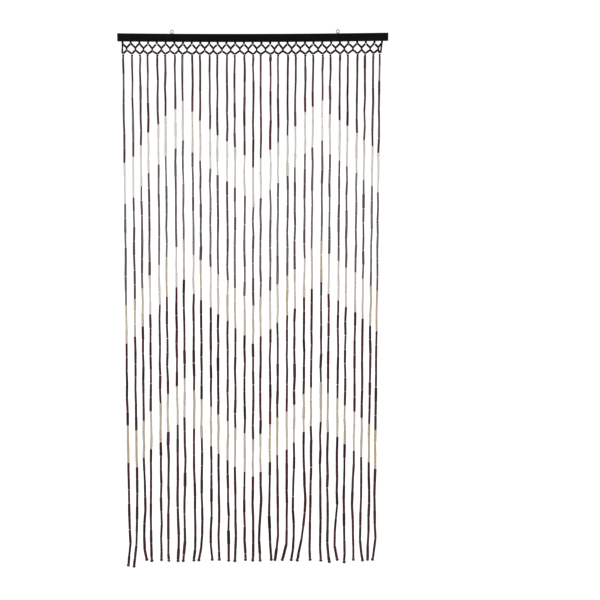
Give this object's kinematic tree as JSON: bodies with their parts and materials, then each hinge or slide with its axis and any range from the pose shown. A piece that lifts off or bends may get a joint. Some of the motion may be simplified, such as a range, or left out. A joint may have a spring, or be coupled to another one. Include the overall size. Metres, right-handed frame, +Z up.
{
  "type": "bamboo door curtain with hanging rail",
  "caption": "Hanging door curtain: strings of dark bamboo tubes with pale zigzag bands fall from a net of short beads under a black wooden rail with screw eyes.",
  "frame": {"origin": "middle of the rail's back face", "axes": "+Z up along the strings, +X to the right along the rail seen from the front, +Y towards the wall or door frame behind it"},
  "size_m": [1, 0.017, 2.047],
  "materials": {
    "black_wood": "black paint, satin",
    "dark_bamboo": "stained dark brown, satin",
    "pale_bamboo": "natural, satin",
    "zinc": "zinc plated"
  },
  "bodies": {
    "root": {"rail": "black_wood", "eye_left": "zinc", "eye_right": "zinc", "bead_curtain": "dark_bamboo"}
  },
  "joints": []
}
